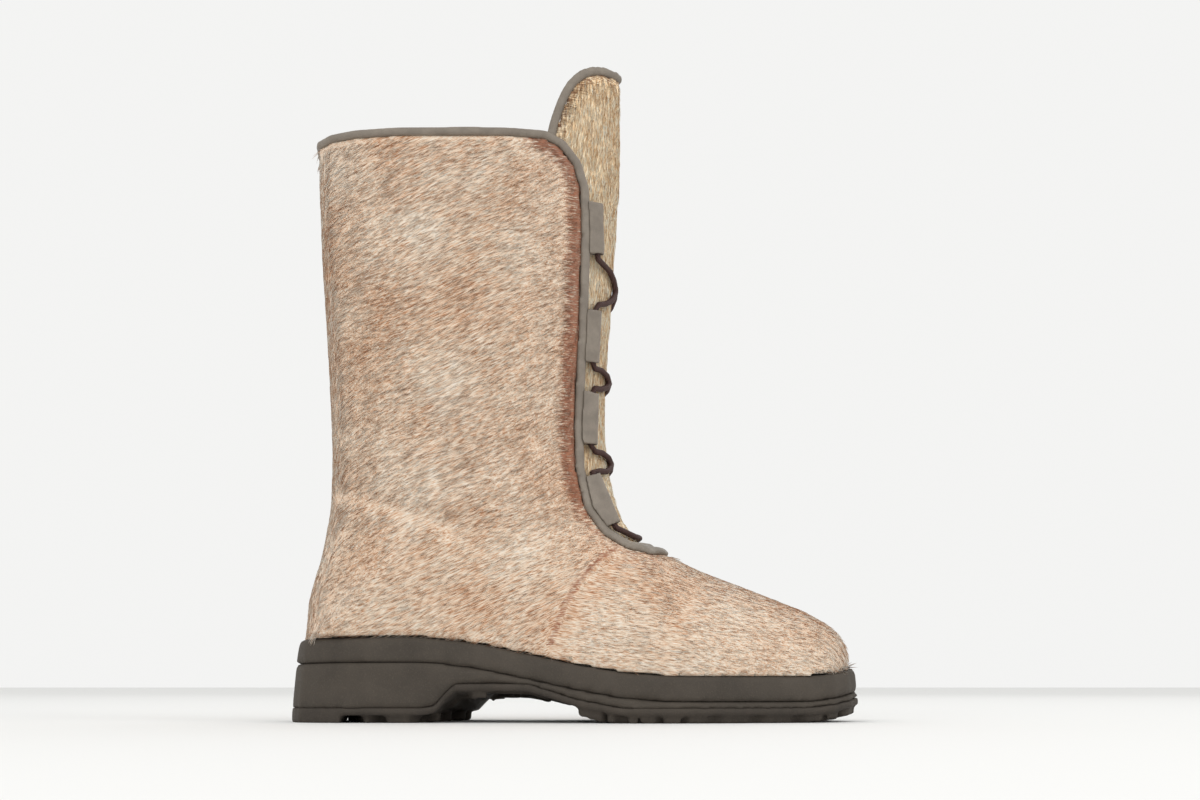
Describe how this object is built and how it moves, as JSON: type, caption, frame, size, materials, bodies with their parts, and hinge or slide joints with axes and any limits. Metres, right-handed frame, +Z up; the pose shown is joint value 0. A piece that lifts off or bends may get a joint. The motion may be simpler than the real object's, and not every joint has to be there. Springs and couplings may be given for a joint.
{
  "type": "mukluk boot",
  "caption": "Right mukluk boot: a tall hair-on hide upper with a tongue, lace loops and a criss-cross lace on a thick lugged rubber sole.",
  "frame": {"origin": "middle of the footprint's bounding box, on the floor that the tread stands on", "axes": "+X from heel to toe, +Y towards the inner side of the foot, +Z up"},
  "size_m": [0.292, 0.112, 0.3522],
  "materials": {
    "rubber": "matt, fine grain",
    "foam": "matt, fine grain",
    "hide": "hair-on hide, satin hair",
    "tongue_hide": "hair-on hide, satin hair",
    "grey_leather": "satin",
    "fleece": "matt",
    "cord": "waxed cord"
  },
  "bodies": {
    "root": {"outsole": "rubber", "wedge": "foam", "midsole": "foam", "upper": "hide", "collar_binding": "grey_leather", "insole": "fleece", "tongue": "tongue_hide", "tongue_binding": "grey_leather", "throat_tab": "grey_leather", "loop_outer_1": "grey_leather", "loop_outer_2": "grey_leather", "loop_outer_3": "grey_leather", "loop_outer_4": "grey_leather", "loop_inner_1": "grey_leather", "loop_inner_2": "grey_leather", "loop_inner_3": "grey_leather", "loop_inner_4": "grey_leather", "lace": "cord"}
  },
  "joints": []
}
